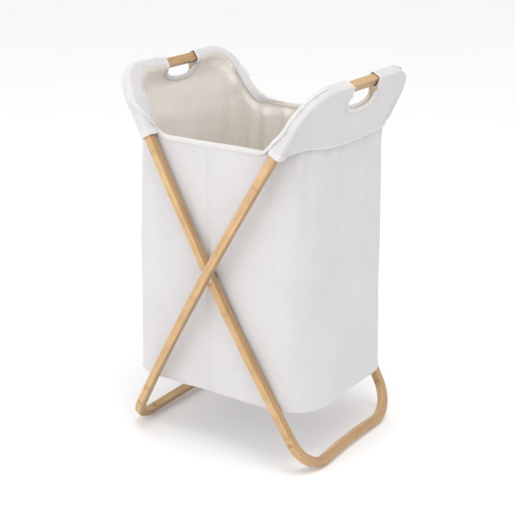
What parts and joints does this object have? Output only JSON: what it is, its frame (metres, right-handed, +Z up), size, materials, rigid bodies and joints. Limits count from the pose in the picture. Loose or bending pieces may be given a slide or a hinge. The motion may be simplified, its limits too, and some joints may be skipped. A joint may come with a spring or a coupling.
{
  "type": "folding laundry hamper",
  "caption": "Folding laundry hamper: crossed bent-bamboo loop frames that pivot at mid height and carry an open canvas bag with hand holes over the top bars.",
  "frame": {"origin": "on the floor under the middle of the hamper", "axes": "+Z up, +X across the crossed legs towards the outer frame's top bar, +Y to the back"},
  "size_m": [0.3868, 0.3762, 0.6521],
  "materials": {
    "bamboo": "satin clear lacquer over light laminated bamboo",
    "dowel_wood": "plain birch",
    "screw_steel": "zinc plated",
    "insert_brass": "plain brass",
    "spacer_nylon": "natural nylon",
    "canvas": "off-white cotton canvas, plain weave",
    "binding_tape": "white woven tape",
    "board": "bare hardboard"
  },
  "bodies": {
    "inner_frame": {"inner_lower_bow": "bamboo", "inner_upper_bow": "bamboo", "inner_joint_dowels": "dowel_wood", "screw_washers": "screw_steel", "left_sleeve": "canvas", "left_sleeve_cuffs": "binding_tape", "left_flap": "canvas", "left_outer_binding": "binding_tape"},
    "outer_frame": {"outer_lower_bow": "bamboo", "outer_upper_bow": "bamboo", "outer_joint_dowels": "dowel_wood", "threaded_inserts": "insert_brass", "pivot_screws": "screw_steel", "right_sleeve": "canvas", "right_sleeve_cuffs": "binding_tape", "right_flap": "canvas", "right_outer_binding": "binding_tape"},
    "spacers": {"pivot_spacers": "spacer_nylon"},
    "bag": {"bag_left_half": "canvas", "bag_right_half": "canvas", "bag_bottom": "canvas", "front_rim_tape": "binding_tape", "back_rim_tape": "binding_tape", "left_inner_binding": "binding_tape", "right_inner_binding": "binding_tape", "board_hinge_tape": "binding_tape"},
    "board_left": {"base_board_left": "board"},
    "board_right": {"base_board_right": "board"}
  },
  "joints": [
    {"name": "fold", "type": "hinge", "parent": "inner_frame", "child": "outer_frame", "pos_m": [0, 0, 0.32501], "axis": [0, -1, 0], "range_deg": [0, 54], "deforming": ["bag_left_half", "bag_right_half", "bag_bottom", "front_rim_tape", "back_rim_tape", "left_inner_binding", "right_inner_binding", "board_hinge_tape", "left_flap", "right_flap", "left_outer_binding", "right_outer_binding"]},
    {"name": "spacer_turn", "type": "hinge", "parent": "inner_frame", "child": "spacers", "pos_m": [0, 0, 0.32501], "axis": [0, -1, 0], "range_deg": [0, 27]},
    {"name": "bag_rise", "type": "slide", "parent": "spacers", "child": "bag", "axis": [0, 0, 1], "range_m": [0, 0.03488]},
    {"name": "board_left_tilt", "type": "hinge", "parent": "bag", "child": "board_left", "pos_m": [0, 0, 0.1133], "axis": [0, 1, 0], "range_deg": [0, 83.05]},
    {"name": "board_right_tilt", "type": "hinge", "parent": "bag", "child": "board_right", "pos_m": [0, 0, 0.1133], "axis": [0, -1, 0], "range_deg": [0, 83.05]}
  ],
  "couplings": [
    {"joint": "spacer_turn", "follows": "fold", "ratio": 0.5},
    {"joint": "bag_rise", "follows": "fold", "m_per_rad": 0.0369},
    {"joint": "board_left_tilt", "follows": "fold", "ratio": 1.537},
    {"joint": "board_right_tilt", "follows": "fold", "ratio": 1.537}
  ]
}
